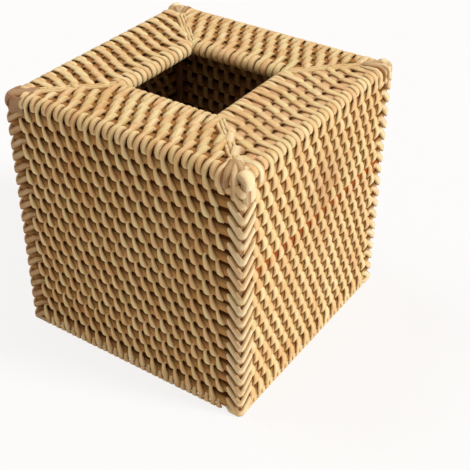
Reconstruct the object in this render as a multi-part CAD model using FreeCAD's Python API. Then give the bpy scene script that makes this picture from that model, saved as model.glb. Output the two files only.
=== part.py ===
import FreeCAD, Part
import math
import os

from FreeCAD import Vector

# Woven rattan tissue box cover, open below, in millimetres.
# The origin is the centre of the base, +Z is up and the front faces -Y.

# Whole cover
cover_width = 140.0        # outside, over the strands, the same both ways
cover_height = 140.0
opening_width = 54.0       # clear square opening in the top

# Rattan stock
strand_thickness = 1.2
stake_thickness = 2.0      # across the flats, which lie along the strands
rail_diameter = 3.2        # poles along the top and bottom edges
post_diameter = 4.4        # upright poles in the corners
rim_pole_diameter = 4.0    # poles round the opening
rib_diameter = 3.0         # poles under the mitres of the top
pole_flats = 8
fit_clearance = 0.1        # strand to rod, and rod to rod where one ends on another
strand_gap = 0.3           # between strands that lie side by side

# Weave
least_strand_pitch = 7.8   # each strand stands for two split strands laid side by side
least_side_pitch = 7.0     # between the stakes of a side
least_top_pitch = 7.0      # between the stakes of a top strip
edge_row = 8.0             # top edge, or base, to the nearest stake of a side
top_edge_row = 10.2        # outer edge to the nearest stake of a top strip
rim_row = 11.6             # opening to the nearest stake
edge_round = 1.6           # how far the strands cut in at the top outer edges
rim_drop = 8.0             # how far the strands reach down inside the opening

# Herringbone bindings on the corner posts
binding_width = 9.2        # along each face, from the corner
binding_dip = 4.0          # from the arms down to the point of the V
binding_round = 1.3        # how far the point cuts in at the corner
binding_tuck = 0.6         # depth of the arm ends below the face

cut_overrun = 5.0

# Places that follow from the sizes above
half_width = cover_width / 2
half_opening = opening_width / 2
half_strand = strand_thickness / 2
half_stake = stake_thickness / 2
rail_radius = rail_diameter / 2
post_radius = post_diameter / 2
rim_pole_radius = rim_pole_diameter / 2
rib_radius = rib_diameter / 2

strip_width = half_width - half_opening
side_rows_span = cover_height - 2 * edge_row
side_stake_count = 1 + math.floor(side_rows_span / least_side_pitch)
side_pitch = side_rows_span / (side_stake_count - 1)
top_rows_span = strip_width - top_edge_row - rim_row
top_stake_count = 1 + math.floor(top_rows_span / least_top_pitch)
top_pitch = top_rows_span / (top_stake_count - 1)
weave_zone = cover_width - 2 * (binding_width + strand_gap)
strand_pairs = math.floor((weave_zone / least_strand_pitch - 1) / 2)
strands_per_side = 2 * strand_pairs + 1    # odd, so that both ends of a side are woven alike
strand_pitch = weave_zone / strands_per_side
strand_width = strand_pitch - strand_gap

side_names = ["front", "right", "back", "left"]
corner_names = ["front_left", "front_right", "back_right", "back_left"]
quarter_turn = 90
x_axis = Vector(1, 0, 0)
y_axis = Vector(0, 1, 0)
z_axis = Vector(0, 0, 1)


# Weave sums: a strand zigzags past rods at an even pitch and clears each by the fit clearance

strand_reach = half_stake + fit_clearance + half_strand


def flank_sine(pitch):
    return 2 * strand_reach / pitch


def flank_cosine(pitch):
    return math.sqrt(1 - flank_sine(pitch) ** 2)


def swing(pitch):
    return strand_reach / flank_cosine(pitch)


def stake_inset(pitch):
    return (strand_reach + half_strand) / flank_cosine(pitch)


side_inset = stake_inset(side_pitch)
top_inset = stake_inset(top_pitch)

# Frame poles: each takes its place from the strands that press on it

inner_point = binding_round + strand_thickness / math.sqrt(2)
arm_angle = math.atan2(inner_point - binding_tuck, binding_width - inner_point)
post_grip = (post_radius + fit_clearance) / math.sin(math.pi / 4 + arm_angle)
post_inset = inner_point + post_grip / math.sqrt(2)
post_face = post_inset + post_radius + fit_clearance

top_rail_inset = 2 * top_inset + fit_clearance + rail_radius

foot_inset = half_strand / flank_cosine(side_pitch)
lead_slope = (side_inset + swing(side_pitch) - foot_inset) / edge_row
lead_reach = (rail_radius + fit_clearance + half_strand) * math.hypot(1, lead_slope)
bottom_rail_inset = foot_inset + lead_slope * rail_radius + lead_reach

# Over a rim pole the strands rise to a crest and turn down at 45 degrees
crest_depth = half_strand * math.sqrt(2)
rim_turn = (rim_pole_radius + fit_clearance + half_strand) * math.sqrt(2)
rim_pole_depth = crest_depth + rim_turn
rim_pole_place = half_opening + half_strand + rim_turn

mitre_gap = (rib_radius + fit_clearance) * math.sqrt(2)


def pole(start, end, radius):
    # A prism of few flats, with its edges on the round of the pole
    run = end - start
    angles = [2 * math.pi * flat / pole_flats for flat in range(pole_flats)]
    corners = [Vector(math.cos(angle), math.sin(angle), 0) * radius for angle in angles]
    prism = Part.Face(Part.makePolygon(corners + corners[:1])).extrude(z_axis * run.Length)
    prism.Placement = FreeCAD.Placement(start, FreeCAD.Rotation(z_axis, run))
    return prism


def stake(start, length, pitch, outward, along):
    # A rhombus that fills the angle between the strands that pass on either side of it
    edge = outward * half_stake / flank_cosine(pitch)
    tip = along * half_stake / flank_sine(pitch)
    section = Part.makePolygon([start + corner for corner in (edge, tip, -edge, -tip, edge)])
    return Part.Face(section).extrude(x_axis * length)


def strand(path, first_cut, last_cut, start):
    # A strand of even thickness along a bent line in the YZ plane, its ends cut along given directions
    normals = [x_axis.cross(end - begin).normalize() for begin, end in zip(path, path[1:])]
    bends = [(before + after) / (1 + before.dot(after)) for before, after in zip(normals, normals[1:])]
    first = first_cut / first_cut.dot(normals[0])
    last = last_cut / last_cut.dot(normals[-1])
    offsets = [bend * half_strand for bend in [first] + bends + [last]]
    upper = [point + offset for point, offset in zip(path, offsets)]
    lower = [point - offset for point, offset in zip(path, offsets)]
    outline = Part.makePolygon(upper + lower[::-1] + upper[:1])
    outline.translate(x_axis * start)
    return Part.Face(outline).extrude(x_axis * strand_width)


def strand_start(column):
    return -weave_zone / 2 + strand_gap / 2 + column * strand_pitch


edge_cut = y_axis - z_axis


def side_strand(column):
    path = [Vector(0, foot_inset - half_width, 0)]
    for row in range(side_stake_count):
        outward = 1 if (row + column) % 2 == 0 else -1
        depth = side_inset - outward * swing(side_pitch)
        path.append(Vector(0, depth - half_width, edge_row + row * side_pitch))
    edge_height = cover_height - edge_round - fit_clearance
    path.append(Vector(0, edge_round - half_width, edge_height))
    return strand(path, y_axis, edge_cut, strand_start(column))


def top_strand(column):
    start = strand_start(column)
    path = [Vector(0, edge_round - half_width, cover_height - edge_round)]
    for row in range(top_stake_count):
        upward = 1 if (row + column) % 2 == 1 else -1
        depth = top_inset - upward * swing(top_pitch)
        path.append(Vector(0, top_edge_row + row * top_pitch - half_width, cover_height - depth))
    path.append(Vector(0, -rim_pole_place, cover_height - crest_depth))
    path.append(Vector(0, -half_opening - half_strand, cover_height - rim_pole_depth))
    path.append(Vector(0, -half_opening - half_strand, cover_height - rim_drop))
    whole = strand(path, edge_cut, y_axis, start)
    outer_edge = max(abs(start), abs(start + strand_width))
    if outer_edge < half_opening - mitre_gap:
        return whole
    return whole.common(mitred_strip())


def mitred_strip():
    depth = strip_width + cut_overrun
    wide = half_width - mitre_gap
    base = cover_height - rim_drop - cut_overrun
    corners = [
        Vector(-wide, -half_width, base),
        Vector(wide, -half_width, base),
        Vector(wide - depth, depth - half_width, base),
        Vector(depth - wide, depth - half_width, base),
    ]
    outline = Part.makePolygon(corners + corners[:1])
    return Part.Face(outline).extrude(z_axis * (rim_drop + 2 * cut_overrun))


def side_strands():
    return [side_strand(column) for column in range(strands_per_side)]


def top_strands():
    # One more at each end than on the side, where a short strand closes the corner over the post
    return [top_strand(column) for column in range(-1, strands_per_side + 1)]


def side_stakes():
    length = cover_width - 2 * post_face
    start = Vector(-length / 2, side_inset - half_width, edge_row)
    rows = [start + z_axis * row * side_pitch for row in range(side_stake_count)]
    return [stake(row, length, side_pitch, y_axis, z_axis) for row in rows]


def top_stakes():
    rods = []
    for row in range(top_stake_count):
        inset = top_edge_row + row * top_pitch
        reach = half_width - inset - mitre_gap - half_stake / flank_sine(top_pitch)
        start = Vector(-reach, inset - half_width, cover_height - top_inset)
        rods.append(stake(start, 2 * reach, top_pitch, z_axis, y_axis))
    return rods


def corner_post():
    foot = Vector(post_inset - half_width, post_inset - half_width, 0)
    height = cover_height - edge_round - strand_thickness
    return [pole(foot, foot + z_axis * height, post_radius)]


def top_rail():
    # Ends on the post at one end and on the side of the next rail at the other
    place = Vector(0, top_rail_inset - half_width, cover_height - top_rail_inset)
    start = place + x_axis * (post_face - half_width)
    end = place + x_axis * (half_width - top_rail_inset - rail_radius - fit_clearance)
    return [pole(start, end, rail_radius)]


def bottom_rail():
    place = Vector(0, bottom_rail_inset - half_width, rail_radius)
    reach = x_axis * (half_width - post_face)
    return [pole(place - reach, place + reach, rail_radius)]


def opening_rail():
    # Laid pinwheel fashion, each ending on the side of the next
    place = Vector(0, -rim_pole_place, cover_height - rim_pole_depth)
    start = place - x_axis * (rim_pole_place + rim_pole_radius)
    end = place + x_axis * (rim_pole_place - rim_pole_radius - fit_clearance)
    return [pole(start, end, rim_pole_radius)]


def mitre_rib():
    diagonal = Vector(1, 1, 0).normalize()
    height = z_axis * (cover_height - top_inset)
    post_axis = Vector(post_inset - half_width, post_inset - half_width, 0)
    rim_corner = -Vector(1, 1, 0) * (rim_pole_place + rim_pole_radius)
    start = post_axis + diagonal * (post_radius + fit_clearance)
    end = rim_corner - diagonal * fit_clearance
    return [pole(start + height, end + height, rib_radius)]


def corner_binding():
    return [binding(edge_row + row * side_pitch) for row in range(side_stake_count)]


def binding(height):
    # A folded V that is thickest at the corner and thins to an edge at the end of each arm
    half_height = (side_pitch - strand_gap) / 2

    def upright(inset_x, inset_y, middle):
        foot = Vector(inset_x - half_width, inset_y - half_width, middle - half_height)
        return [foot, foot + z_axis * 2 * half_height]

    outer = upright(binding_round, binding_round, height - binding_dip)
    inner = upright(inner_point, inner_point, height - binding_dip)
    faces = []
    for inset_x, inset_y in [(binding_width, binding_tuck), (binding_tuck, binding_width)]:
        arm = upright(inset_x, inset_y, height)
        faces.append(outer + arm[::-1])
        faces.append(inner + arm[::-1])
        faces.extend([[outer[level], inner[level], arm[level]] for level in (0, 1)])
    shell = Part.makeShell([Part.Face(Part.makePolygon(face + face[:1])) for face in faces])
    shell.sewShape()
    solid = Part.makeSolid(shell)
    if solid.Volume < 0:
        solid.reverse()
    return solid


def write_nodes(name, places, solids):
    for turn, place in enumerate(places):
        group = Part.makeCompound(solids)
        group.rotate(Vector(0, 0, 0), z_axis, turn * quarter_turn)
        group.exportStep(f"parts/{name}_{place}.step")


os.makedirs("parts", exist_ok=True)
write_nodes("corner_post", corner_names, corner_post())
write_nodes("top_rail", side_names, top_rail())
write_nodes("bottom_rail", side_names, bottom_rail())
write_nodes("opening_rail", side_names, opening_rail())
write_nodes("mitre_rib", corner_names, mitre_rib())
write_nodes("side_stakes", side_names, side_stakes())
write_nodes("top_stakes", side_names, top_stakes())
write_nodes("side_strands", side_names, side_strands())
write_nodes("top_strands", side_names, top_strands())
write_nodes("corner_binding", corner_names, corner_binding())
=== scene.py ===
import math
import random

import bpy
import numpy as np
from mathutils import Matrix, Vector


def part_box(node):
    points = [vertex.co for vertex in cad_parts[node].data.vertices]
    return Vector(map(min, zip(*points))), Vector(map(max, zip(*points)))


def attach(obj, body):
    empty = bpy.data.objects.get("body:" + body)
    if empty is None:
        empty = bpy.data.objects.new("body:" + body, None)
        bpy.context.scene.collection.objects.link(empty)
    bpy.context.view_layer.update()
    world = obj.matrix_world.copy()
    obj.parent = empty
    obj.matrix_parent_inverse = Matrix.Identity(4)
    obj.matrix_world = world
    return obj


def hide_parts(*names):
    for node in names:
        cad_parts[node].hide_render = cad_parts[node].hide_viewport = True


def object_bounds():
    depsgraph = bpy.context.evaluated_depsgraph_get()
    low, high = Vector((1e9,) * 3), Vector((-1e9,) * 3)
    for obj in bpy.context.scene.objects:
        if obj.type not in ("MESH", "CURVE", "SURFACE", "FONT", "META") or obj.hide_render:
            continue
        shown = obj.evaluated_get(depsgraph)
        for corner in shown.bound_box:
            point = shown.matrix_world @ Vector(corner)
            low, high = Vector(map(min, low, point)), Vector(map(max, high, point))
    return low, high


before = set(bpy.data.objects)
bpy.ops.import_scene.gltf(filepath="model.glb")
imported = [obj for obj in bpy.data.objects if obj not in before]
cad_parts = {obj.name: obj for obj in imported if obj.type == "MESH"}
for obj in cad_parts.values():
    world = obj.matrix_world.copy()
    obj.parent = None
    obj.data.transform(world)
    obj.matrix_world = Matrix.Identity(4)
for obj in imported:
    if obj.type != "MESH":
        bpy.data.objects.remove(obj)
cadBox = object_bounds()
print("frame loaded:", len(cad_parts), "nodes")

# Woven rattan cover for a cube box of tissues. Sizes are in millimetres until a mesh is made
mm = 0.001
half = cadBox[1].x / mm
height = cadBox[1].z / mm
sideNames = ["front", "right", "back", "left"]
cornerNames = ["front_left", "front_right", "back_right", "back_left"]
strapCorner = "back_left"    # the one corner of the top that has a strap
cornerHeading = 225          # degrees from +X to where the front left corner points


# Node trees

class Wire:
    # a socket of a node tree; sums of wires add Math nodes
    def __init__(self, tree, socket=None):
        self.tree = tree
        self.socket = socket

    def node(self, kind, settings=None, inputs=None, output=0):
        made = self.tree.nodes.new(kind)
        for key, value in (settings or {}).items():
            if key == "stops":
                fillRamp(made.color_ramp, value)
            else:
                setattr(made, key, value)
        for key, value in (inputs or {}).items():
            if isinstance(value, Wire):
                self.tree.links.new(value.socket, made.inputs[key])
            else:
                made.inputs[key].default_value = value
        return Wire(self.tree, made.outputs[output])

    def beside(self, name):
        # another output of the same node
        return Wire(self.tree, self.socket.node.outputs[name])

    def math(self, operation, first, second=0.0):
        return self.node("ShaderNodeMath", {"operation": operation}, {0: first, 1: second})

    def clamp(self):
        return self.node("ShaderNodeClamp", {}, {"Value": self})

    def mix(self, factor, first, second):
        return self.node("ShaderNodeMix", {"data_type": "RGBA"}, {0: factor, 6: first, 7: second}, 2)

    def ramp(self, stops):
        return self.node("ShaderNodeValToRGB", {"stops": stops}, {"Fac": self})

    def __add__(self, other):
        return self.math("ADD", self, other)

    def __radd__(self, other):
        return self.math("ADD", other, self)

    def __sub__(self, other):
        return self.math("SUBTRACT", self, other)

    def __rsub__(self, other):
        return self.math("SUBTRACT", other, self)

    def __mul__(self, other):
        return self.math("MULTIPLY", self, other)

    def __rmul__(self, other):
        return self.math("MULTIPLY", other, self)

    def __abs__(self):
        return self.math("ABSOLUTE", self)


def fillRamp(ramp, stops):
    while len(ramp.elements) < len(stops):
        ramp.elements.new(1.0)
    for element, (place, value) in zip(ramp.elements, stops):
        element.position = place
        element.color = (value, value, value, 1)


def buildSweepTree():
    # sweeps an oval section along every path of the mesh that it gets
    tree = bpy.data.node_groups.new("rattanSweep", "GeometryNodeTree")
    kinds = {"Geometry": "Geometry", "Width": "Float", "Thickness": "Float", "Flatness": "Float",
             "Sides": "Int", "Material": "Material"}
    for name, kind in kinds.items():
        tree.interface.new_socket(name, in_out="INPUT", socket_type="NodeSocket" + kind)
    tree.interface.new_socket("Geometry", in_out="OUTPUT", socket_type="NodeSocketGeometry")
    start = tree.nodes.new("NodeGroupInput")
    given = {name: Wire(tree, start.outputs[name]) for name in kinds}
    at = Wire(tree)

    # a circle, squared off by the flatness, whose points keep where they lie across the strand
    circle = at.node("GeometryNodeCurvePrimitiveCircle", {"mode": "RADIUS"},
                     {"Resolution": given["Sides"], "Radius": 1.0})
    place = at.node("ShaderNodeSeparateXYZ", {}, {"Vector": at.node("GeometryNodeInputPosition")})
    parts = []
    for axis in ("X", "Y"):
        part = place.beside(axis)
        parts.append(at.math("SIGN", part) * at.math("POWER", abs(part), given["Flatness"]))
    deep, wide = parts
    circle = at.node("GeometryNodeStoreNamedAttribute", {"data_type": "FLOAT", "domain": "POINT"},
                     {"Geometry": circle, "Name": "across", "Value": wide})
    squared = at.node("ShaderNodeCombineXYZ", {},
                      {"X": deep * given["Thickness"] * 0.5, "Y": wide * given["Width"] * 0.5})
    section = at.node("GeometryNodeSetPosition", {}, {"Geometry": circle, "Position": squared})

    lines = at.node("GeometryNodeMeshToCurve", {}, {"Mesh": given["Geometry"]})
    outward = at.node("GeometryNodeInputNamedAttribute", {"data_type": "FLOAT_VECTOR"}, {"Name": "outward"})
    lines = at.node("GeometryNodeSetCurveNormal", {"mode": "FREE"}, {"Curve": lines, "Normal": outward})
    girth = at.node("GeometryNodeInputNamedAttribute", {"data_type": "FLOAT"}, {"Name": "girth"})
    swept = at.node("GeometryNodeCurveToMesh", {},
                    {"Curve": lines, "Profile Curve": section, "Scale": girth, "Fill Caps": True})
    swept = at.node("GeometryNodeSetShadeSmooth", {}, {"Geometry": swept})
    swept = at.node("GeometryNodeRealizeInstances", {}, {"Geometry": swept})
    swept = at.node("GeometryNodeSetMaterial", {}, {"Geometry": swept, "Material": given["Material"]})
    end = tree.nodes.new("NodeGroupOutput")
    tree.links.new(swept.socket, end.inputs["Geometry"])
    return tree


sweepTree = buildSweepTree()
# dive carries painted shade: mostly how far a point has gone in under the weave, which the finishes paint
# darker
pathMarks = ["girth", "along", "dive", "tone", "stain"]


def makePath(points, outward, **marks):
    # a path with its outward direction squared to it, and its marks for the section and the finish
    run = np.gradient(points, axis=0)
    run /= np.linalg.norm(run, axis=1, keepdims=True)
    outward = outward - run * np.sum(outward * run, axis=1, keepdims=True)
    outward /= np.linalg.norm(outward, axis=1, keepdims=True)
    steps = np.linalg.norm(np.diff(points, axis=0), axis=1)
    given = {"girth": 1.0, "dive": 0.0, "tone": 0.5, "stain": 0.0, **marks}
    given["along"] = np.concatenate([[0], np.cumsum(steps)])
    return {"points": points, "outward": outward, "marks": given}


def joinPaths(name, paths):
    mesh = bpy.data.meshes.new(name)
    counts = [len(path["points"]) for path in paths]
    starts = np.cumsum([0] + counts[:-1])
    edges = [(start + step, start + step + 1)
             for start, count in zip(starts, counts) for step in range(count - 1)]
    mesh.from_pydata(np.concatenate([path["points"] for path in paths]) * mm, edges, [])
    outward = mesh.attributes.new("outward", "FLOAT_VECTOR", "POINT")
    outward.data.foreach_set("vector", np.concatenate([path["outward"] for path in paths]).ravel())
    for mark in pathMarks:
        values = [np.broadcast_to(path["marks"][mark], count) for path, count in zip(paths, counts)]
        layer = mesh.attributes.new(mark, "FLOAT", "POINT")
        layer.data.foreach_set("value", np.concatenate(values).astype(np.float32))
    return mesh


def sweepPiece(name, paths, section, material, nodes):
    piece = bpy.data.objects.new(name, joinPaths(name, paths))
    bpy.context.scene.collection.objects.link(piece)
    modifier = piece.modifiers.new("sweep", "NODES")
    modifier.node_group = sweepTree
    items = sweepTree.interface.items_tree
    sockets = {item.name: item.identifier for item in items if item.in_out == "INPUT"}
    modifier[sockets["Width"]] = section["width"] * mm
    modifier[sockets["Thickness"]] = section["thickness"] * mm
    modifier[sockets["Flatness"]] = section.get("flatness", 1.0)
    modifier[sockets["Sides"]] = section["sides"]
    modifier[sockets["Material"]] = material
    depsgraph = bpy.context.evaluated_depsgraph_get()
    swept = bpy.data.meshes.new_from_object(piece.evaluated_get(depsgraph), preserve_all_data_layers=True,
                                            depsgraph=depsgraph)
    piece.modifiers.clear()
    piece.data = swept
    swept.name = name
    for unneeded in ("outward", "girth"):
        swept.attributes.remove(swept.attributes[unneeded])
    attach(piece, "root")
    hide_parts(*nodes)
    print("made", name, len(swept.polygons), "faces")


def toWorld(turn, x, y, z):
    # turns points of the front side, or of the front left corner, a quarter at a time
    x, y, z = np.broadcast_arrays(x, y, z)
    for _ in range(turn):
        x, y = -y, x
    return np.stack([x, y, z], axis=1).astype(float)


waves = {"cycles": (1, 2, 4), "shares": (0.4, 1.0), "stretch": (0.7, 1.3)}    # that make up an uneven line


def wobble(rng, size, length):
    # a slow uneven wave for what hands have laid
    fullTurn = 2 * math.pi
    parts = []
    for cycles in waves["cycles"]:
        share = rng.uniform(*waves["shares"])
        rate = fullTurn * cycles * rng.uniform(*waves["stretch"]) / length
        parts.append((share, rate, rng.uniform(0, fullTurn)))
    total = sum(share for share, _, _ in parts)

    def wave(place):
        return size * sum(share * np.sin(rate * place + phase) for share, rate, phase in parts) / total

    return wave


# Rattan finishes

grain = {
    "fibre": {"along": 0.08, "seed": 91.0, "detail": 3.0},
    "blotch": {"across": 0.6, "along": 0.11, "seed": 57.0, "detail": 2.0},
    "hue": {"across": 0.3, "along": 0.05, "seed": 233.0, "detail": 1.0},
    "noiseRoughness": 0.6,
    "patchDetail": 2.0,
    # how much each counts in the lightness
    "toneShare": 0.45, "patchShare": 0.9, "blotchShare": 1.3, "fibreShare": 0.5,
    "roughnessShare": 0.25,      # of the fibres in the roughness
    "bumpShare": 0.5,            # of the blotches in the bump
    "bumpDistance": 0.0004,
    "gingerStops": [(0.50, 0.0), (0.68, 1.0)],
    "strawStops": [(0.34, 1.0), (0.46, 0.0)],
    "hollowStops": [(0.45, 0.0), (0.95, 1.0)],
    "grooveStops": [(0.35, 0.0), (1.0, 1.0)],
    "lidStops": [(0.30, 0.0), (0.82, 1.0)],
}


def rattanMaterial(name, look):
    material = bpy.data.materials.new(name)
    material.use_nodes = True
    tree = material.node_tree
    shader = tree.nodes["Principled BSDF"]
    at = Wire(tree)

    def mark(key):
        return at.node("ShaderNodeAttribute", {"attribute_name": key}, {}, "Fac")

    def streaks(kind):
        place = at.node("ShaderNodeCombineXYZ", {}, {"X": across * kind["across"], "Y": along * kind["along"],
                                                     "Z": tone * kind["seed"]})
        return at.node("ShaderNodeTexNoise", {}, {"Vector": place, "Scale": 1.0, "Detail": kind["detail"],
                                                  "Roughness": grain["noiseRoughness"]})

    along = mark("along")
    across = mark("across")
    dive = mark("dive")
    tone = mark("tone")
    place = at.node("ShaderNodeTexCoord", {}, {}, "Object")
    patch = at.node("ShaderNodeTexNoise", {},
                    {"Vector": place, "Scale": look["patchScale"], "Detail": grain["patchDetail"]})
    fibre = streaks({**grain["fibre"], "across": look["fibres"]})
    blotch = streaks(grain["blotch"])
    hue = streaks(grain["hue"])

    lightness = (tone - 0.5) * grain["toneShare"] + (patch - 0.5) * grain["patchShare"]
    lightness = lightness + (blotch - 0.5) * grain["blotchShare"] + (fibre - 0.5) * grain["fibreShare"]
    colour = at.mix((lightness + look["lightness"]).clamp(), look["mid"], look["pale"])
    colour = at.mix(hue.ramp(grain["gingerStops"]) * look["ginger"], colour, look["gingerColour"])
    colour = at.mix(hue.ramp(grain["strawStops"]) * look["straw"], colour, look["strawColour"])

    # painted shade: darker in the hollows of the weave, along the edges of a strand and, for the stakes, on
    # the upper half, where the float above would cast its shadow
    hollow = dive.ramp(grain["hollowStops"])
    groove = abs(across).ramp(grain["grooveStops"])
    lid = (across * look["lidSide"] * 0.5 + 0.5).ramp(grain["lidStops"])
    shade = hollow * look["dive"] + groove * look["flank"] + lid * look["lid"]
    shade = (shade + (fibre - 0.5) * look["fibreDepth"]).clamp()
    colour = at.mix(shade, colour, look["deep"])
    colour = at.mix(mark("stain"), colour, look["stainColour"])
    tree.links.new(colour.socket, shader.inputs["Base Color"])
    roughness = look["roughness"] + fibre * grain["roughnessShare"]
    tree.links.new(roughness.socket, shader.inputs["Roughness"])
    relief = fibre + blotch * grain["bumpShare"]
    bump = at.node("ShaderNodeBump", {},
                   {"Height": relief, "Strength": look["bump"], "Distance": grain["bumpDistance"]})
    tree.links.new(bump.socket, shader.inputs["Normal"])
    shader.inputs["Specular IOR Level"].default_value = look["gloss"]
    return material


strandLook = {
    "pale": (0.95, 0.78, 0.44, 1),
    "mid": (0.76, 0.50, 0.21, 1),
    # deep is the colour of painted shade; dive, flank and lid say how dark it is painted in the hollows,
    # along the edges of a strand and on one half of a stake
    "deep": (0.24, 0.085, 0.010, 1),
    "gingerColour": (0.78, 0.42, 0.19, 1),
    "strawColour": (0.82, 0.75, 0.36, 1),
    "stainColour": (0.34, 0.07, 0.008, 1),
    "lightness": 0.50, "ginger": 0.5, "straw": 0.4, "dive": 0.75, "flank": 0.48, "fibreDepth": 0.9,
    "patchScale": 30.0, "fibres": 4.5, "roughness": 0.45, "bump": 0.9, "gloss": 0.2,
    "lid": 0.0, "lidSide": -1.0,    # painted shadow on one half of a stake: how dark, and which way across it lies
}
# Stake finishes, darker than the strands as painted shade in the hollows, in lit and shaded copies of one
# finish; this shaded copy is for the right, back and left sides
shadedSideCoreLook = {
    **strandLook,
    "pale": (0.55, 0.32, 0.115, 1),
    "mid": (0.41, 0.20, 0.055, 1),
    "deep": (0.055, 0.016, 0.002, 1),
    "dive": 0.0, "flank": 0.1, "straw": 0.1, "ginger": 0.2, "roughness": 0.7, "gloss": 0.05, "lid": 1.0,
}
# the lit copy, for the front side
litFrontSideLook = {
    **shadedSideCoreLook,
    "pale": (0.88, 0.62, 0.30, 1),
    "mid": (0.74, 0.44, 0.16, 1),
    "deep": (0.16, 0.055, 0.006, 1),
}
# the shaded copy, for the strips of the top other than the front one
shadedTopCoreLook = {
    **shadedSideCoreLook,
    "pale": (0.46, 0.23, 0.07, 1),
    "mid": (0.33, 0.15, 0.04, 1),
    "deep": (0.07, 0.02, 0.002, 1),
    "flank": 0.6, "lid": 0.0,
}
# the lit copy, for the front strip of the top
litFrontCoreLook = {
    **shadedTopCoreLook,
    "pale": (0.80, 0.53, 0.30, 1),
    "mid": (0.64, 0.38, 0.18, 1),
    "deep": (0.14, 0.045, 0.006, 1),
    "flank": 0.9,
}
bindingLook = {**strandLook, "pale": (0.95, 0.80, 0.50, 1), "lightness": 0.7, "dive": 0.85, "ginger": 0.25}
poleLook = {
    **strandLook,
    "pale": (0.50, 0.33, 0.19, 1),
    "mid": (0.34, 0.20, 0.10, 1),
    "dive": 0.0, "flank": 0.0, "ginger": 0.2, "straw": 0.1,
}
strapLook = {
    **poleLook,
    "pale": (0.48, 0.31, 0.18, 1),
    "mid": (0.29, 0.16, 0.075, 1),
    "fibreDepth": 1.2, "flank": 0.5,
}

strandMaterial = rattanMaterial("rattanStrand", strandLook)
strapMaterial = rattanMaterial("rattanStrap", strapLook)
shadedSideCoreMaterial = rattanMaterial("rattanSideCoreShaded", shadedSideCoreLook)
shadedTopCoreMaterial = rattanMaterial("rattanTopCoreShaded", shadedTopCoreLook)
litFrontCoreMaterial = rattanMaterial("rattanFrontCoreLit", litFrontCoreLook)
litFrontSideMaterial = rattanMaterial("rattanFrontSideCoreLit", litFrontSideLook)
bindingMaterial = rattanMaterial("rattanBinding", bindingLook)
poleMaterial = rattanMaterial("rattanPole", poleLook)
print("finishes made")


# Weave: where the stakes run, and how the strands pass them

weave = {
    "wallMiddle": 2.15,      # face to the middle of the weave
    "swing": 1.4,            # how far the strands stand off that middle
    "sideRows": 18,
    "edgeRow": 8.0,          # top edge or base to the nearest stake of a side
    "topRows": 4,
    "topEdgeRow": 10.2,      # outer edge to the nearest stake of a top strip
    "rimRow": 11.6,          # opening to the nearest stake
    "openingHalf": 27.0,
    "edgeRound": 5.0,        # radius of the wrapped top edges
    "rimRound": 3.6,         # radius of the wrapped edge of the opening
    "rimSlack": 0.4,         # how much wider than that radius the strands go round it
    "rowWobble": 0.45,
    "leanSpread": 0.35,      # share by which the lean of the floats changes from row to row
    "seed": 11,
}
strip = half - weave["openingHalf"]
sidePitch = (height - 2 * weave["edgeRow"]) / (weave["sideRows"] - 1)
topPitch = (strip - weave["topEdgeRow"] - weave["rimRow"]) / (weave["topRows"] - 1)
weaveRng = random.Random(weave["seed"])
rowWaves = {(side, row): wobble(weaveRng, weave["rowWobble"], 2 * half)
            for side in sideNames for row in range(weave["sideRows"])}
leanWaves = {side: wobble(weaveRng, weave["leanSpread"], height / 2) for side in sideNames}


def rowHeight(side, row, place):
    return weave["edgeRow"] + row * sidePitch + rowWaves[side, row](place)


# The middle of the weave, as a line up a side, over the top edge, across the strip and round the rim
edgeArc = weave["edgeRound"] - weave["wallMiddle"]
rimArc = weave["rimRound"] - weave["wallMiddle"] + weave["rimSlack"]
edgeStart = height - weave["edgeRound"]
topStart = edgeStart + edgeArc * math.pi / 2
edgeMiddle = (edgeStart + topStart) / 2


def topLength(inset):
    return topStart + inset - weave["edgeRound"]


def guide(run, rimStart):
    # inset, height and outward direction at a length along that line
    turn = np.clip((run - edgeStart) / edgeArc, 0, math.pi / 2)
    roll = np.clip((run - rimStart) / rimArc, 0, None)
    across = np.clip(run - topStart, 0, rimStart - topStart)
    climb = np.minimum(run, edgeStart)
    inset = weave["edgeRound"] - edgeArc * np.cos(turn) + across + rimArc * np.sin(roll)
    level = climb + edgeArc * np.sin(turn) - rimArc * (1 - np.cos(roll))
    tilt = turn + roll - math.pi / 2
    return inset, level, np.sin(tilt), np.cos(tilt)


# Strands, up the sides and on across the top

strands = {
    "perSide": 32,
    "thickness": 1.35,
    "flatness": 0.72,
    "sides": 10,
    "stepsPerRow": 8,
    "baseWidth": 3.75,
    "baseOut": 0.75,         # how far out, as a share of the swing, they stand at the base
    "straightFoot": 7.0,     # height within which they straighten down to the base
    "topCrest": 0.8,
    "widthEase": 0.6,        # how soon a strand has its full width
    "leanBlend": 0.7,        # length over which the lean is evened out
    "headShade": 0.3,        # share of the shade of a float's foot that its head has
    "swingShares": (0.94, 1.0),
    "girthShares": (0.95, 1.03),
    "wander": 0.25,
    "mitreGap": 0.6,         # mitre to the end of a strand that stops there
    "rowGap": 1.5,           # least length that such a strand goes on past a stake
    "rimGap": 2.0,           # a strand that stops this near the rim goes on round it
    "rimTurn": 200,          # degrees
    "mitreOut": -0.1,
    "shortColumns": 2,       # short ones at each end of a side, which close the top corners
    "shortStart": 128.0,     # height of their foot
    "shortOuts": (-0.4, 0.8),    # how far out they are there, and at the highest stake
    "shortReach": 67.0,
    "strapEnds": {"left": -1, "back": 1},    # which end of these sides has the strap in their place
    "seed": 5,
}
brownPatch = {"side": "front", "across": 6.0, "level": 100.0, "spread": 13.0, "depth": 0.35}

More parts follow.
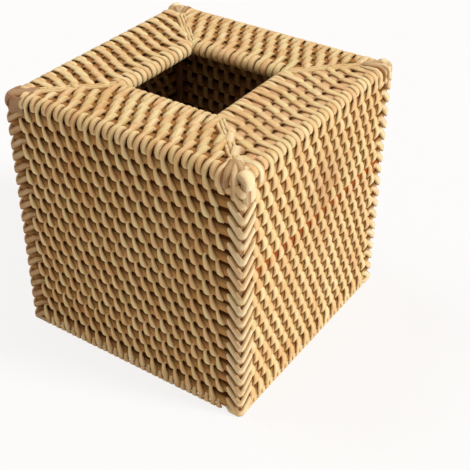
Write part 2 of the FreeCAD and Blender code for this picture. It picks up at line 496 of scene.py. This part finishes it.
# How the weave of a plain side looks, and what differs on the others
plainSide = {
    "first": -58.6, "last": 58.6,    # places of the first and last strand
    "rim": 43.0,             # outer edge to the rim of the opening
    "width": 4.2,            # of the floats
    "crossing": 3.6,         # width in the hollows between them
    "lean": -12,             # of the floats, in degrees
    "hold": 1.15,            # above one, floats are longer than hollows
    "swell": 1.2,            # how much wider floats are at their foot
    "crest": 0.8,            # below one, floats are flatter
    "edge": 3.6,             # width where they wrap the edges
    "hollowShade": 1.0, "edgeShade": 0.0,    # shade in the hollows and on the top edge
    "topWidth": 4.0, "topCrossing": 2.1, "topLean": -18, "topHold": 3.0,
}
sideLooks = {
    "front": {**plainSide, "rim": 44.4, "width": 5.0, "crossing": 3.0, "lean": 6, "hold": 0.95, "swell": 0.9,
              "crest": 0.65, "edge": 3.7, "hollowShade": 0.8,
              "topWidth": 4.3, "topCrossing": 2.5, "topLean": 20, "topHold": 1.7},
    "right": plainSide,
    "back": {**plainSide, "topWidth": 4.2, "topCrossing": 2.3, "topLean": 20, "topHold": 2.5},
    "left": {**plainSide, "first": -59.2, "last": 56.2, "rim": 42.6, "width": 3.0, "crossing": 2.6,
             "lean": -20, "hold": 1.35, "swell": 1.5, "crest": 0.55, "edge": 3.25, "edgeShade": 0.6,
             "topLean": -19},
}


def strandKnots(side, column, place, short):
    # lengths along the middle line, how far out the strand is there, and its width
    look = sideLooks[side]
    knots = []
    if short:
        footOut, stakeOut = strands["shortOuts"]
        knots.append((strands["shortStart"], footOut, look["crossing"]))
        knots.append((rowHeight(side, weave["sideRows"] - 1, place), stakeOut, look["crossing"]))
    else:
        knots.append((0.0, strands["baseOut"], strands["baseWidth"]))
        for row in range(weave["sideRows"]):
            over = (row + column) % 2 == 0
            width = look["width" if over else "crossing"]
            knots.append((rowHeight(side, row, place), 1 if over else -1, width))
    knots.append((edgeMiddle, 1, look["edge"]))
    mitre = half - abs(place) - strands["mitreGap"]
    for row in range(weave["topRows"]):
        inset = weave["topEdgeRow"] + row * topPitch
        if inset < mitre - strands["rowGap"]:
            over = (row + column) % 2 == 1
            width = look["topWidth" if over else "topCrossing"]
            knots.append((topLength(inset), 1 if over else -1, width))
    rim = look["rim"] - weave["rimRound"]
    if mitre > rim - strands["rimGap"]:
        knots.append((topLength(rim), 1, look["edge"]))
        knots.append((topLength(rim) + rimArc * math.radians(strands["rimTurn"]), 1, look["edge"]))
    else:
        knots.append((topLength(max(mitre, weave["edgeRound"])), strands["mitreOut"], look["topCrossing"]))
    return [np.array(values) for values in zip(*knots)]


def strandWave(run, places, outs, widths, look):
    # how far out the strand is, how wide, and where on a float, from one at its foot to minus one at its head
    spot = np.clip(np.searchsorted(places, run, side="right") - 1, 0, len(places) - 2)
    share = (run - places[spot]) / (places[spot + 1] - places[spot])
    hold = np.where(run > topStart, look["topHold"], look["hold"])
    falling = outs[spot] >= outs[spot + 1]
    share = np.where(falling, share ** hold, 1 - (1 - share) ** hold)
    wave = np.cos(math.pi * share)
    wave = np.sign(wave) * np.abs(wave) ** np.where(run > edgeStart, strands["topCrest"], look["crest"])
    out = (outs[spot] + outs[spot + 1]) / 2 + (outs[spot] - outs[spot + 1]) / 2 * wave

    nearest = np.where(share < 0.5, spot, spot + 1)
    foot = (places[nearest] - run) / (sidePitch / 2)
    foot = np.clip(np.where((out > 0) & (run < edgeStart), foot, 0), -1, 1)
    crossing = np.where(run > topStart, look["topCrossing"], look["crossing"])
    fullWidth = widths[nearest] + look["swell"] * foot
    width = crossing + (fullWidth - crossing) * np.abs(wave) ** strands["widthEase"]
    return out, width, foot


def strandLean(run, places, outs, side):
    # sideways shift that makes the floats lean
    look = sideLooks[side]
    middles = (places[:-1] + places[1:]) / 2
    sideLean = math.tan(math.radians(look["lean"])) * sidePitch / 2 * (1 + leanWaves[side](middles))
    topLean = math.tan(math.radians(look["topLean"])) * topPitch / 2
    shifts = np.where(middles < edgeStart, sideLean, topLean) * (outs[:-1] - outs[1:]) / 2
    offsets = (-strands["leanBlend"], 0.0, strands["leanBlend"])
    shift = sum(np.interp(run + offset, middles, shifts) for offset in offsets) / len(offsets)
    return shift * np.clip(run / strands["straightFoot"], 0, 1)


def strandShade(run, out, foot, look):
    # painted shade: the foot of a float turns in under the next stake and is painted dark there, its head
    # less so, and a side's top edge is painted darker by its edge shade
    dive = (1 - out) / 2 * np.where((foot > 0) | (run > edgeStart), 1.0, strands["headShade"])
    dive = dive * np.where(run < edgeStart, look["hollowShade"], 1.0)
    wrap = np.exp(-((run - edgeMiddle) / weave["edgeRound"]) ** 2)
    return np.maximum(dive, wrap * look["edgeShade"])


def strandStain(side, across, level):
    if side != brownPatch["side"]:
        return 0.0
    gap = (across - brownPatch["across"]) ** 2 + (level - brownPatch["level"]) ** 2
    return brownPatch["depth"] * np.exp(-gap / (2 * brownPatch["spread"] ** 2))


def strandPath(turn, column, place, rng, short=False):
    side = sideNames[turn]
    look = sideLooks[side]
    places, outs, widths = strandKnots(side, column, place, short)
    step = sidePitch / strands["stepsPerRow"]
    run = np.linspace(places[0], places[-1], int((places[-1] - places[0]) / step) + 2)
    out, width, foot = strandWave(run, places, outs, widths, look)
    across = place + strandLean(run, places, outs, side) + wobble(rng, strands["wander"], half)(run)
    inset, level, outInset, outLevel = guide(run, topLength(look["rim"] - weave["rimRound"]))
    reach = out * weave["swing"] * rng.uniform(*strands["swingShares"])
    points = toWorld(turn, across, inset - half + outInset * reach, level + outLevel * reach)
    outward = toWorld(turn, 0 * run, outInset, outLevel)
    girth = width / look["width"] * rng.uniform(*strands["girthShares"])
    return makePath(points, outward, girth=girth, dive=strandShade(run, out, foot, look), tone=rng.random(),
                    stain=strandStain(side, across, level))


def buildStrands():
    count = strands["perSide"]
    extra = strands["shortColumns"]
    for turn, side in enumerate(sideNames):
        rng = random.Random(strands["seed"] + turn)
        look = sideLooks[side]
        pitch = (look["last"] - look["first"]) / (count - 1)
        paths = [strandPath(turn, column, look["first"] + column * pitch, rng) for column in range(count)]
        for column in (*range(-extra, 0), *range(count, count + extra)):
            place = look["first"] + column * pitch
            if abs(place) < strands["shortReach"] and strands["strapEnds"].get(side, 0) * place <= 0:
                paths.append(strandPath(turn, column, place, rng, True))
        section = {**strands, "width": look["width"]}
        sweepPiece("strands_" + side, paths, section, strandMaterial,
                   ["side_strands_" + side, "top_strands_" + side])


# Stakes that the strands pass, level on the sides and along the strips of the top

stakes = {
    "height": 8.3, "topHeight": 7.4,
    "thickness": 1.4,
    "fullThickness": 1.9,    # of those in the front strip of the top
    "sides": 12,
    "steps": 90, "topSteps": 60,
    "reach": 67.0,
    "mitreGap": 1.5,
    # the lowest of a side, and the first and last of a strip: shift from their place, and girth
    "baseRow": (-1.7, 1.38), "endRows": {0: (-1.6, 1.3), 3: (2.0, 1.45)},
    # size and length of their unevenness
    "depthWobble": (0.12, 30), "girthWobble": (0.05, 40), "topWobble": (0.25, 40),
    "stainedRow": ("front", 10), "stain": 0.8,
    "seed": 21,
}


def sideStakePaths(turn, rng):
    side = sideNames[turn]
    place = np.linspace(-stakes["reach"], stakes["reach"], stakes["steps"])
    paths = []
    for row in range(weave["sideRows"]):
        shift, girth = stakes["baseRow"] if row == 0 else (0.0, 1.0)
        depth = weave["wallMiddle"] + (girth - 1) * stakes["thickness"] / 2
        depth = depth - half + wobble(rng, *stakes["depthWobble"])(place)
        points = toWorld(turn, place, depth, rowHeight(side, row, place) + shift)
        stain = stakes["stain"] if (side, row) == stakes["stainedRow"] else 0.0
        paths.append(makePath(points, toWorld(turn, 0 * place, -1, 0), tone=rng.random(), stain=stain,
                              girth=girth * (1 + wobble(rng, *stakes["girthWobble"])(place))))
    return paths


def topStakePaths(turn, rng):
    paths = []
    for row in range(weave["topRows"]):
        inset = weave["topEdgeRow"] + row * topPitch
        reach = half - inset - stakes["mitreGap"]
        place = np.linspace(-reach, reach, stakes["topSteps"])
        shift, girth = stakes["endRows"].get(row, (0.0, 1.0))
        sunk = (girth - 1) * stakes["fullThickness"] / 2
        aside = inset + shift - half + wobble(rng, *stakes["topWobble"])(place)
        points = toWorld(turn, place, aside, height - weave["wallMiddle"] - sunk)
        paths.append(makePath(points, toWorld(turn, 0 * place, 0, 1), tone=rng.random(), girth=girth))
    return paths


def buildStakes():
    for turn, side in enumerate(sideNames):
        rng = random.Random(stakes["seed"] + turn)
        section = {"width": stakes["height"], "thickness": stakes["thickness"], "sides": stakes["sides"]}
        topSection = {**section, "width": stakes["topHeight"]}
        # the front side and the front strip take the lit copies of the stake finishes, the other sides and
        # strips the shaded ones
        finish = shadedSideCoreMaterial
        topFinish = shadedTopCoreMaterial
        if side == "front":
            topSection["thickness"] = stakes["fullThickness"]
            finish = litFrontSideMaterial
            topFinish = litFrontCoreMaterial
        paths = sideStakePaths(turn, rng)
        sweepPiece("sideStakes_" + side, paths, section, finish, ["side_stakes_" + side])
        paths = topStakePaths(turn, rng)
        sweepPiece("topStakes_" + side, paths, topSection, topFinish, ["top_stakes_" + side])


# Herringbone bindings round the upright corners, each with a steep short arm and a flatter long one

bindings = {
    "width": 3.6,
    "thickness": 1.9,
    "flatness": 0.75,
    "sides": 10,
    "steps": 55,
    "round": 2.8,
    "apex": 0.35,            # softness of the point of the V
    "steepDip": 7.0, "steepArm": 7.0,
    "flatDip": 6.0, "flatArm": 9.0,
    "levelShare": 0.25,      # share of an arm over which it levels out
    "reach": 11.5,
    "tuck": 2.2,             # how far the ends of the arms go in, behind the stakes
    "tuckStart": 1.5,        # before the end of the arm
    "tuckLength": 3.0,
    "tuckShade": 0.6,
    "tail": 0.6,             # share of the width that is left where an arm has gone in
    "dipShares": (0.93, 1.07), "girthShares": (0.94, 1.04), "levelSpread": 0.4,
    "shortLevel": 135.0, "shortSize": 0.6,    # the one under the ends at the top corner
    "shadedArms": {"front_left": (-1, 0.54), "back_left": (1, 0.78)},    # arms on the shaded side, painted darker as shade: which way, and how dark
    "shadeStart": 2.0, "shadeLength": 3.0,    # before the corner, and length over which the painted shade comes in
    "seed": 31,
}
leastRound = 0.1             # radius to which a line round a corner may shrink


def aroundCorner(aside, depth, radius):
    # plan of a line round the front left corner, and its outward direction
    inner = radius - depth
    bend = inner * math.pi / 4
    turned = np.clip(aside / np.maximum(inner, leastRound), -math.pi / 4, math.pi / 4)
    angle = math.radians(cornerHeading) + turned
    beyond = np.maximum(np.abs(aside) - bend, 0)
    outX = np.cos(angle)
    outY = np.sin(angle)
    x = radius + inner * outX + np.where(aside > 0, beyond, 0) - half
    y = radius + inner * outY + np.where(aside < 0, beyond, 0) - half
    return x, y, outX, outY


def bindingPath(turn, level, rng, size=1.0):
    reach = bindings["reach"] * size
    aside = np.linspace(-reach, reach, bindings["steps"])
    arm = np.where(aside < 0, bindings["steepArm"], bindings["flatArm"]) * size
    dip = np.where(aside < 0, bindings["steepDip"], bindings["flatDip"])
    dip = dip * rng.uniform(*bindings["dipShares"]) * size
    top = np.where(aside < 0, 0.0, bindings["flatDip"] - bindings["steepDip"]) * size
    tuck = np.clip((np.abs(aside) - arm + bindings["tuckStart"]) / bindings["tuckLength"], 0, 1)
    tuck = tuck * tuck * (3 - 2 * tuck)
    depth = bindings["thickness"] / 2 + bindings["tuck"] * tuck
    x, y, outX, outY = aroundCorner(aside, depth, bindings["round"])

    # down to the point of the V, and level at the ends of the arms
    soft = np.sqrt(aside ** 2 + bindings["apex"] ** 2) - bindings["apex"]
    drop = np.clip(1 - soft / arm, 0, 1)
    ease = bindings["levelShare"]
    drop = np.where(drop < ease, drop ** 2 / (2 * ease), drop - ease / 2) / (1 - ease / 2)
    z = np.maximum(level + top - dip * drop, bindings["width"] / 2)

    girth = (1 - (1 - bindings["tail"]) * tuck) * rng.uniform(*bindings["girthShares"])
    # painted shade where the ends of the arms go in behind the stakes, and on the arms that lie on the shaded
    # side
    dive = bindings["tuckShade"] * tuck
    if cornerNames[turn] in bindings["shadedArms"]:
        way, shade = bindings["shadedArms"][cornerNames[turn]]
        darkening = np.clip((aside * way + bindings["shadeStart"]) / bindings["shadeLength"], 0, 1)
        dive = np.maximum(dive, darkening * shade)
    outward = toWorld(turn, outX, outY, 0 * aside)
    return makePath(toWorld(turn, x, y, z), outward, tone=rng.random(), girth=girth, dive=dive)


def buildBindings():
    spread = bindings["levelSpread"]
    for turn, corner in enumerate(cornerNames):
        rng = random.Random(bindings["seed"] + turn)
        # one more below the lowest row goes round level, at the base
        rows = range(-1, weave["sideRows"])
        levels = [weave["edgeRow"] + row * sidePitch + rng.uniform(-spread, spread) for row in rows]
        paths = [bindingPath(turn, level, rng) for level in levels]
        if corner != strapCorner:
            paths.append(bindingPath(turn, bindings["shortLevel"], rng, bindings["shortSize"]))
        sweepPiece("bindings_" + corner, paths, bindings, bindingMaterial,
                   ["corner_binding_" + corner])


# Ends of strands folded over the top corners

caps = {
    "width": 3.7,
    "thickness": 2.2,
    "sides": 10,
    "pivot": 14.0,           # faces of the corner to the point from which they fan out
    "edgeRound": 3.6,
    "lead": 2.5,             # length over which an end goes in
    "tuck": 1.2,             # how far it goes in
    "tuckThin": 0.35,        # share by which it thins there
    "tuckShade": 0.7,
    "reachSteps": 600,
    "topSteps": 12, "bendSteps": 12, "dropSteps": 16,
    # each end: place of its pivot along the front, turn from the diagonal, length on the top, start and end
    # of its drop, girth, tone, and darkening, which adds to the painted shade where it goes in
    "fan": [(14.0, -46, 9.0, 0.0, 9.0, 0.9, 0.3, 0.45),
            (14.0, -28, 9.0, 0.0, 7.5, 1.3, 0.2, 0.85),
            (14.0, -12, 12.0, 0.0, 12.0, 1.0, 0.5, 0.62),
            (14.0, 4, 12.0, 0.0, 15.0, 1.25, 0.3, 0.72),
            (4.8, 45, 0.5, 0.0, 7.0, 2.1, 1.0, 0.0),
            (6.6, 45, 0.0, 5.5, 13.5, 1.8, 0.8, 0.0),
            (14.0, 46, 9.0, 0.0, 8.5, 1.0, 0.6, 0.3)],
}


def capReach(pivot, outX, outY):
    # how far an end goes from its pivot to lie under the rounded square of the faces
    run = np.linspace(0, 2 * caps["pivot"], caps["reachSteps"])
    x = pivot + run * outX
    y = caps["pivot"] + run * outY
    core = bindings["round"]
    corner = np.hypot(np.minimum(x - core, 0), np.minimum(y - core, 0))
    gap = core - corner + np.maximum(np.minimum(x, y) - core, 0)
    return run[np.argmax(gap < caps["thickness"] / 2)]


def capPath(turn, pivot, angle, length, start, drop, girth, tone, darkening):
    heading = math.radians(cornerHeading + angle)
    outX = math.cos(heading)
    outY = math.sin(heading)
    reach = capReach(pivot, outX, outY)
    bend = caps["edgeRound"]
    flat = np.linspace(max(reach - bend - length, 0), reach - bend, caps["topSteps"])
    turned = np.linspace(0, math.pi / 2, caps["bendSteps"])[1:]
    fall = np.linspace(bend, drop, caps["dropSteps"])[1:]
    along = np.concatenate([flat, reach - bend + bend * np.sin(turned), np.full(len(fall), reach)])
    down = np.concatenate([0 * flat, bend * (1 - np.cos(turned)), fall])
    tilt = np.concatenate([0 * flat, turned, np.full(len(fall), math.pi / 2)])
    kept = down >= start
    along = along[kept]
    down = down[kept]
    tilt = tilt[kept]

    # both ends go in
    passed = np.concatenate([[0], np.cumsum(np.hypot(np.diff(along), np.diff(down)))])
    tuck = np.clip(1 - np.minimum(passed, passed[-1] - passed) / caps["lead"], 0, 1) ** 2
    along = along - caps["tuck"] * tuck * np.sin(tilt)
    down = down + caps["tuck"] * tuck * np.cos(tilt)
    x = pivot + along * outX - half
    y = caps["pivot"] + along * outY - half
    points = toWorld(turn, x, y, height - caps["thickness"] / 2 - down)
    outward = toWorld(turn, outX * np.sin(tilt), outY * np.sin(tilt), np.cos(tilt))
    # painted shade where the ends go in, and the darkening given for each end
    return makePath(points, outward, tone=tone, girth=(1 - caps["tuckThin"] * tuck) * girth,
                    dive=np.maximum(caps["tuckShade"] * tuck, darkening))


def buildCaps():
    for turn, corner in enumerate(cornerNames):
        if corner != strapCorner:
            paths = [capPath(turn, *end) for end in caps["fan"]]
            sweepPiece("cornerCaps_" + corner, paths, caps, bindingMaterial, [])


# The wide strap round the back left corner of the top, and the dome that closes the corner above it

strap = {
    "width": 10.4,
    "thickness": 2.6,
    "sides": 16,
    "steps": 31,
    "level": 134.2,
    "reach": 8.6,
    "round": 5.0,
    "lead": 2.0,             # length over which its ends go in
    "tone": 0.4,
    "domeWidth": 7.2, "domeDrop": 6.5, "domeTone": 0.5,
}


def buildStrap():
    turn = cornerNames.index(strapCorner)
    aside = np.linspace(-strap["reach"], strap["reach"], strap["steps"])
    tuck = np.clip((np.abs(aside) - strap["reach"] + strap["lead"]) / strap["lead"], 0, 1)
    x, y, outX, outY = aroundCorner(aside, strap["thickness"] / 2 + tuck, strap["round"])
    outward = toWorld(turn, outX, outY, 0 * aside)
    paths = [makePath(toWorld(turn, x, y, strap["level"]), outward, tone=strap["tone"])]
    girth = strap["domeWidth"] / strap["width"]
    paths.append(capPath(turn, caps["pivot"], angle=0, length=caps["pivot"], start=0.0,
                         drop=strap["domeDrop"], girth=girth, tone=strap["domeTone"], darkening=0.0))
    sweepPiece("cornerStrap_" + strapCorner, paths, strap, strapMaterial, [])


# Thin strands laid along the mitres of the top

mitres = {
    "width": 1.9,
    "thickness": 1.6,
    "sides": 8,
    "steps": 50,
    "from": 6.0, "to": 41.5,
    "offsets": (-1.9, -0.1, 1.7),
    "depth": 1.3,
    "asideWobble": (0.3, 20), "liftWobble": (0.25, 12),    # size and length
    "shade": 0.35,
    "seed": 61,
}


def buildMitres():
    for turn, corner in enumerate(cornerNames):
        rng = random.Random(mitres["seed"] + turn)
        run = np.linspace(mitres["from"], mitres["to"], mitres["steps"])
        paths = []
        for offset in mitres["offsets"]:
            aside = (offset + wobble(rng, *mitres["asideWobble"])(run)) / math.sqrt(2)
            lift = wobble(rng, *mitres["liftWobble"])(run)
            points = toWorld(turn, run + aside - half, run - aside - half, height - mitres["depth"] + lift)
            outward = toWorld(turn, 0 * run, 0, 1)
            paths.append(makePath(points, outward, tone=rng.random(), dive=mitres["shade"]))
        sweepPiece("mitreBinders_" + corner, paths, mitres, strandMaterial, [])


# Folded ends that cross the front left mitre

foldedEnds = {
    "width": 4.6,
    "thickness": 2.2,
    "flatness": 0.6,
    "sides": 12,
    "steps": 17,
    "length": 9.0,
    "angle": 27, "angleSpread": 4,
    "aside": 1.0,            # off the mitre
    "places": (5.8, 12.0, 18.2, 26.7),    # corner to each, along either edge
    "tones": (0.7, 1.0),
    # what happens at their tips, and how suddenly
    "sink": (1.2, 6), "thin": (0.25, 3), "shade": (0.5, 4),
    "seed": 61,
}


def buildFoldedEnds():
    rng = random.Random(foldedEnds["seed"])
    share = np.linspace(-1, 1, foldedEnds["steps"])

    def atTips(key):
        size, power = foldedEnds[key]
        return size * np.abs(share) ** power

    spread = foldedEnds["angleSpread"]
    low, high = foldedEnds["tones"]
    paths = []
    for place in foldedEnds["places"]:
        angle = math.radians(foldedEnds["angle"] + rng.uniform(-spread, spread))
        x = place + foldedEnds["aside"] + share * foldedEnds["length"] / 2 * math.cos(angle) - half
        y = place - foldedEnds["aside"] + share * foldedEnds["length"] / 2 * math.sin(angle) - half
        z = height - foldedEnds["thickness"] / 2 - atTips("sink")
        tone = low + (high - low) * rng.random()
        paths.append(makePath(toWorld(0, x, y, z), toWorld(0, 0 * x, 0, 1), tone=tone,
                              girth=1 - atTips("thin"), dive=atTips("shade")))
    sweepPiece("mitreEnds_front_left", paths, foldedEnds, bindingMaterial, [])


# Round poles of the hidden frame, where the solids have them

poles = {
    "width": 1.0, "thickness": 1.0,    # times the girth, which is the pole's diameter
    "sides": 16,
    "steps": 40,
    "ribEnd": 0.35,          # share of the diameter that a slanting rib's box has past its end
    "wobble": (0.03, 0.8),   # of the girth: size, and length as a share of half a pole
    "seed": 41,
}


def polePath(node, rng):
    low, high = (np.array(corner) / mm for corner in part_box(node))
    size = high - low
    middle = (low + high) / 2
    diameter = size.min()
    if node.startswith("mitre_rib"):
        run = np.sign(middle) * [1, 1, 0] * (size[0] / 2 - diameter * poles["ribEnd"])
    else:
        run = np.where(size == size.max(), size / 2, 0)
    share = np.linspace(-1, 1, poles["steps"])
    points = middle + share[:, None] * run
    outward = np.tile([0.0, 0, 1] if abs(run[2]) < 1 else [1.0, 0, 0], (len(share), 1))
    return makePath(points, outward, tone=rng.random(),
                    girth=diameter * (1 + wobble(rng, *poles["wobble"])(share)))


def buildPoles():
    rng = random.Random(poles["seed"])
    groups = {"cornerPosts": ["corner_post_" + corner for corner in cornerNames],
              "mitreRibs": ["mitre_rib_" + corner for corner in cornerNames]}
    for name in ("top", "bottom", "opening"):
        groups[name + "Rails"] = [name + "_rail_" + side for side in sideNames]
    for name, nodes in groups.items():
        paths = [polePath(node, rng) for node in nodes]
        sweepPiece(name, paths, poles, poleMaterial, nodes)


buildStrands()
buildStakes()
buildBindings()
buildCaps()
buildStrap()
buildMitres()
buildFoldedEnds()
buildPoles()


# Floor, light and camera, in metres

stageLook = {
    "floorSize": 4.0,
    "floorColour": (0.86, 0.85, 0.83, 1),
    "floorRoughness": 0.9,
    "floorWhite": 0.80,
    "footprint": 0.066,      # half of the floor square under the cover, which stays dark
    "fill": 0.34,
    "fillLow": 0.35,         # share of the fill that comes from low down
    "fillColour": (1.0, 0.82, 0.69, 1),
    # strength, angle in degrees and direction of each
    "suns": {"key": (2.6, 16, (0.25, -0.85, 0.52)), "back": (0.9, 30, (-0.15, 0.7, 1.1))},
}
photoView = {
    "eye": (-0.35574, -0.25522, 0.35364),
    "azimuth": 33.58, "elevation": -35.34, "roll": 0.6,    # degrees
    "lens": 74.34, "sensor": 36.0,    # millimetres
}
white = (1, 1, 1, 1)


def whiteRays(at):
    # rays that should see white: from the camera, in gloss and through glass
    path = at.node("ShaderNodeLightPath")
    total = path.beside("Is Camera Ray")
    for name in ("Is Glossy Ray", "Is Transmission Ray"):
        total = total + path.beside(name)
    return total.clamp()


def floorMaterial():
    material = bpy.data.materials.new("paleFloor")
    material.use_nodes = True
    tree = material.node_tree
    shader = tree.nodes["Principled BSDF"]
    shader.inputs["Base Color"].default_value = stageLook["floorColour"]
    shader.inputs["Roughness"].default_value = stageLook["floorRoughness"]
    at = Wire(tree)
    place = at.node("ShaderNodeTexCoord", {}, {}, "Object")
    parts = at.node("ShaderNodeSeparateXYZ", {}, {"Vector": place})
    outside = at.math("MAXIMUM", abs(parts.beside("X")), abs(parts.beside("Y")))
    outside = at.math("GREATER_THAN", outside, stageLook["footprint"])
    glow = at.node("ShaderNodeEmission", {}, {"Color": white, "Strength": 1.0})
    factor = whiteRays(at) * outside * stageLook["floorWhite"]
    mixed = at.node("ShaderNodeMixShader", {}, {0: factor, 1: Wire(tree, shader.outputs[0]), 2: glow})
    tree.links.new(mixed.socket, tree.nodes["Material Output"].inputs["Surface"])
    return material


def buildFloor():
    mesh = bpy.data.meshes.new("floor")
    reach = stageLook["floorSize"] / 2
    corners = [(-reach, -reach, 0), (reach, -reach, 0), (reach, reach, 0), (-reach, reach, 0)]
    mesh.from_pydata(corners, [], [(0, 1, 2, 3)])
    mesh.materials.append(floorMaterial())
    floor = bpy.data.objects.new("floor", mesh)
    bpy.context.scene.collection.objects.link(floor)


def buildLight():
    world = bpy.data.worlds.new("studio")
    bpy.context.scene.world = world
    world.use_nodes = True
    tree = world.node_tree
    at = Wire(tree)
    seen = whiteRays(at)
    aim = at.node("ShaderNodeTexCoord", {}, {}, "Generated")
    up = at.node("ShaderNodeSeparateXYZ", {}, {"Vector": aim}).beside("Z").clamp()
    fill = (up * (2 - 2 * stageLook["fillLow"]) + stageLook["fillLow"]) * stageLook["fill"]
    back = tree.nodes["Background"]
    tree.links.new(at.mix(seen, stageLook["fillColour"], white).socket, back.inputs["Color"])
    tree.links.new((seen * (1 - fill) + fill).socket, back.inputs["Strength"])
    for name, (energy, angle, source) in stageLook["suns"].items():
        lamp = bpy.data.lights.new(name, "SUN")
        lamp.energy = energy
        lamp.angle = math.radians(angle)
        sun = bpy.data.objects.new(name, lamp)
        sun.rotation_mode = "QUATERNION"
        sun.rotation_quaternion = Vector(source).to_track_quat("Z", "Y")
        bpy.context.scene.collection.objects.link(sun)


def buildCamera():
    lens = bpy.data.cameras.new("photoView")
    lens.lens = photoView["lens"]
    lens.sensor_width = photoView["sensor"]
    camera = bpy.data.objects.new("photoView", lens)
    azimuth = math.radians(photoView["azimuth"])
    elevation = math.radians(photoView["elevation"])
    level = math.cos(elevation)
    ahead = Vector((math.cos(azimuth) * level, math.sin(azimuth) * level, math.sin(elevation)))
    right = ahead.cross(Vector((0, 0, 1))).normalized()
    up = right.cross(ahead)
    roll = Matrix.Rotation(math.radians(photoView["roll"]), 3, "Z")
    turn = Matrix((right, up, -ahead)).transposed() @ roll
    camera.matrix_world = Matrix.Translation(photoView["eye"]) @ turn.to_4x4()
    bpy.context.scene.collection.objects.link(camera)
    bpy.context.scene.camera = camera


buildFloor()
buildLight()
buildCamera()
bpy.context.scene.view_settings.view_transform = "Standard"
print("stage set")
